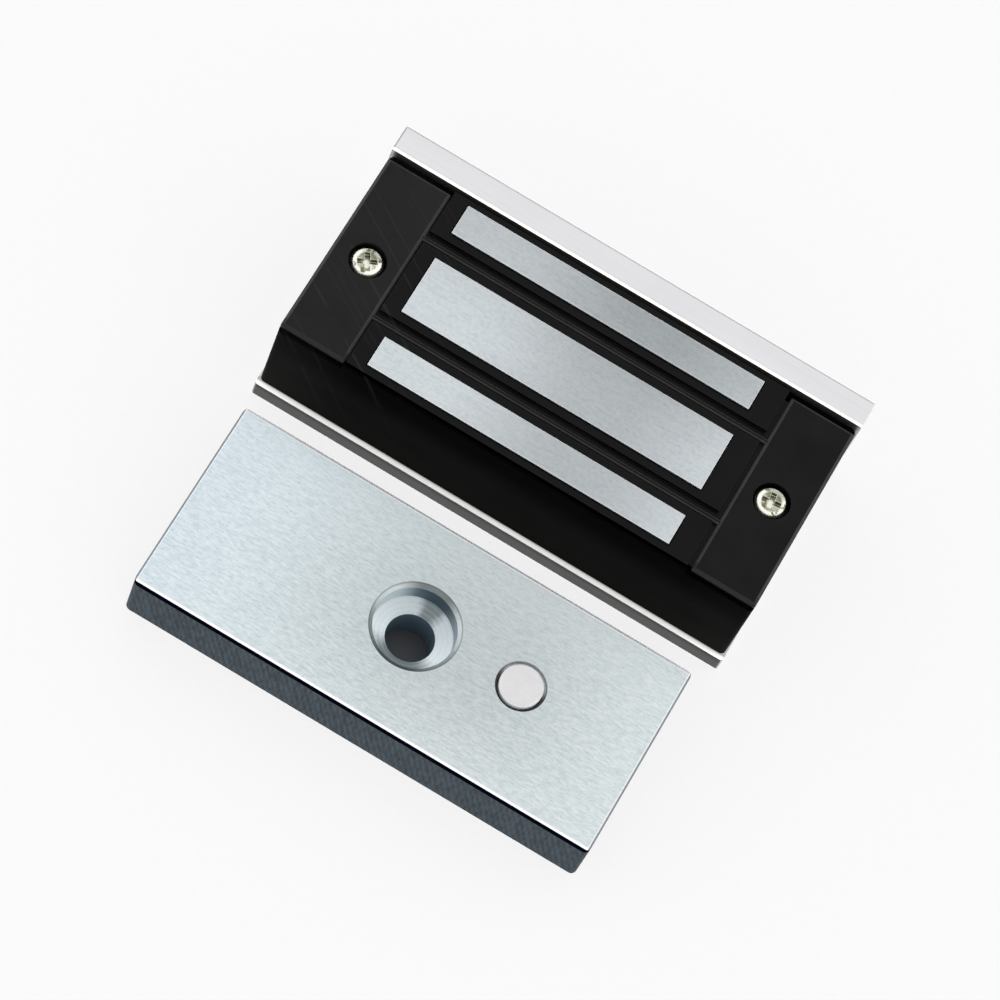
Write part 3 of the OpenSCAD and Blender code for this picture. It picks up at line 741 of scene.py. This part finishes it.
def wire_spring(material):
    """A helix of round wire in the place of the CAD spring."""
    low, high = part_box("plunger_spring")
    base = Vector(((low.x + high.x) / 2, (low.y + high.y) / 2, low.z))
    coil = (high.x - low.x) / 2 - SPRING_WIRE_RADIUS
    lift = high.z - low.z - 2 * SPRING_WIRE_RADIUS
    count = SPRING_TURNS * SPRING_STEPS
    shape = bmesh.new()
    rings = [spring_ring(shape, step / count, base, coil, lift) for step in range(count + 1)]
    for ring, following in zip(rings, rings[1:]):
        for side in range(SPRING_SIDES):
            after = (side + 1) % SPRING_SIDES
            shape.faces.new((ring[side], ring[after], following[after], following[side])).smooth = True
    shape.faces.new(rings[0])
    shape.faces.new(rings[-1])
    bmesh.ops.recalc_face_normals(shape, faces=shape.faces)
    mesh = bpy.data.meshes.new("wire_spring")
    shape.to_mesh(mesh)
    shape.free()
    mesh.materials.append(material)
    spring = bpy.data.objects.new("wire_spring", mesh)
    SCENE.collection.objects.link(spring)
    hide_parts("plunger_spring")
    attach(spring, "armature")
    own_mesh(spring)


wire_spring(drawn_metal("spring_steel", (0.36, 0.37, 0.39), (0.55, 0.56, 0.58), 0.25,
                        (2500, 2500, 2500)))

# ---- studio: pale floor, soft light all round ----

SKY_PATCH = Vector((-0.03, 0.425, 0.905))
SKY_AT_HORIZON = (1.5, 1.5, 1.5)
SKY_OVERHEAD = (0.35, 0.35, 0.36)
SUN_SPREAD = math.radians(20)
FLOOR_LIGHT = 16.7
FLOOR_SUN_WAYS = ((-0.6, -0.8, 0.6), (0.6, -0.8, 0.6))
LEDGE_LIGHT = 2.0
LEDGE_SUN_WAY = (0, -0.42, 0.9)
FLOOR_HALF = 2
FLOOR_HEIGHT = -0.05 * MM
HOLE_FLOOR_HALF = 5 * MM
HOLE_FLOOR_HEIGHT = -0.02 * MM


def floor_sheet(name, centre, half, height, material):
    """A flat square sheet of the floor."""
    mesh = bpy.data.meshes.new(name)
    shape = bmesh.new()
    bmesh.ops.create_grid(shape, x_segments=8, y_segments=8, size=1)
    bmesh.ops.scale(shape, vec=(half, half, 1), verts=shape.verts)
    bmesh.ops.translate(shape, vec=(centre.x, centre.y, height), verts=shape.verts)
    shape.to_mesh(mesh)
    shape.free()
    sheet = bpy.data.objects.new(name, mesh)
    SCENE.collection.objects.link(sheet)
    mesh.materials.append(material)
    return sheet


def floor_paper():
    """Plain pale paper."""
    material, tree, shader = new_material("floor_paper")
    fibre = noise(tree, (900, 900, 900), 3)
    feed(tree, shader, Base_Color=blend(tree, fibre, (0.148, 0.148, 0.148), (0.152, 0.152, 0.152)),
         Roughness=0.9, Specular_IOR_Level=0.0)
    return material


def add_world():
    """Soft surroundings: one broad bright area behind the object, a bright horizon, a dim zenith."""
    world = bpy.data.worlds.new("studio")
    world.use_nodes = True
    tree = world.node_tree
    background = next(n for n in tree.nodes if n.type == "BACKGROUND")
    direction = put(tree, "TexCoord").outputs["Generated"]
    height = put(tree, "SeparateXYZ", {0: direction}).outputs["Z"]
    sky = blend(tree, smooth(tree, height, 0.42, 0.8), SKY_AT_HORIZON, SKY_OVERHEAD)
    toward = put(tree, "VectorMath", {0: direction, 1: SKY_PATCH}, operation="DOT_PRODUCT").outputs["Value"]
    tone = blend(tree, smooth(tree, toward, 0.70, 0.90), sky, WHITE)
    tree.links.new(tone, background.inputs["Color"])
    background.inputs["Strength"].default_value = 1.0
    SCENE.world = world


def add_sun(name, way, strength, receiver):
    """A broad distant light that falls on one object."""
    data = bpy.data.lights.new(name, "SUN")
    data.energy = strength
    data.angle = SUN_SPREAD
    light = bpy.data.objects.new(name, data)
    SCENE.collection.objects.link(light)
    light.matrix_world = Vector(way).normalized().to_track_quat("Z", "Y").to_matrix().to_4x4()
    linking = light.light_linking
    linking.receiver_collection = bpy.data.collections.new(name + "_receivers")
    linking.receiver_collection.objects.link(receiver)
    return light


def add_floor_light(name, way, sheet, blocker=None):
    """A light for one sheet of the floor, shaded by one piece or by none."""
    light = add_sun(name, way, FLOOR_LIGHT, sheet)
    light.data.use_shadow = blocker is not None
    if blocker:
        light.light_linking.blocker_collection = bpy.data.collections.new(name + "_blockers")
        light.light_linking.blocker_collection.objects.link(blocker)


paper = floor_paper()
floor = floor_sheet("floor", Vector((0, 0, 0)), FLOOR_HALF, FLOOR_HEIGHT, paper)
hole_floor = floor_sheet("floor_in_bolt_hole", box_centre("armature_plate"), HOLE_FLOOR_HALF,
                         HOLE_FLOOR_HEIGHT, paper)
add_world()
for number, way in enumerate(FLOOR_SUN_WAYS):
    add_floor_light("floor_light_%d" % number, way, floor)
    add_floor_light("hole_light_%d" % number, way, hole_floor, CAD["armature_plate"])
add_sun("ledge_light", LEDGE_SUN_WAY, LEDGE_LIGHT, CAD["housing_rail"])
SCENE.view_settings.view_transform = "Standard"
SCENE.view_settings.look = "None"
